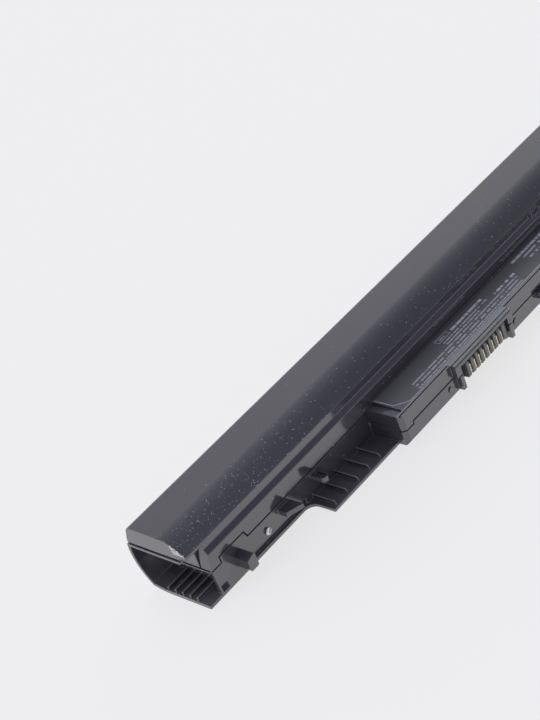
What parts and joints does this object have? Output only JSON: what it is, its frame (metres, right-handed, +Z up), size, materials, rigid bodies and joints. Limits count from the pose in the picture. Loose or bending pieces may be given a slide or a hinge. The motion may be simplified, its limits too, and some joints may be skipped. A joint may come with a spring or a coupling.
{
  "type": "laptop battery",
  "caption": "Long rounded black laptop battery with a row of round cells, a raised label block, a comb connector, mounting hooks and ribbed wings.",
  "frame": {"origin": "centre of the bounding box, on the surface the battery lies on", "axes": "+X along the row of cells, -Y towards the connector, +Z up from the outer skin"},
  "size_m": [0.2728, 0.0381, 0.0205],
  "materials": {
    "case_plastic": "satin, fine texture",
    "connector_plastic": "satin",
    "label_film": "satin film",
    "cell_sleeve": "shrink sleeve",
    "nickel": "plain strip",
    "gold": "plated",
    "board": "solder mask",
    "chip": "moulded",
    "ceramic_fuse": "plain",
    "paper": "fish paper"
  },
  "bodies": {
    "root": {"upper_case": "case_plastic", "lower_case": "case_plastic", "label": "label_film", "connector_housing": "connector_plastic", "negative_tab": "nickel", "positive_tab": "nickel", "insulator_sheet": "paper", "circuit_board": "board", "sense_resistor": "nickel", "fuse": "ceramic_fuse", "cell_1": "cell_sleeve", "cell_2": "cell_sleeve", "cell_3": "cell_sleeve", "cell_4": "cell_sleeve", "insulator_ring_1": "paper", "insulator_ring_2": "paper", "insulator_ring_3": "paper", "insulator_ring_4": "paper", "link_1": "nickel", "link_2": "nickel", "link_3": "nickel", "contact_1": "gold", "contact_2": "gold", "contact_3": "gold", "contact_4": "gold", "contact_5": "gold", "contact_6": "gold", "contact_7": "gold", "contact_8": "gold", "gauge_chip": "chip", "mosfet_1": "chip", "mosfet_2": "chip", "thermistor": "chip"}
  },
  "joints": []
}
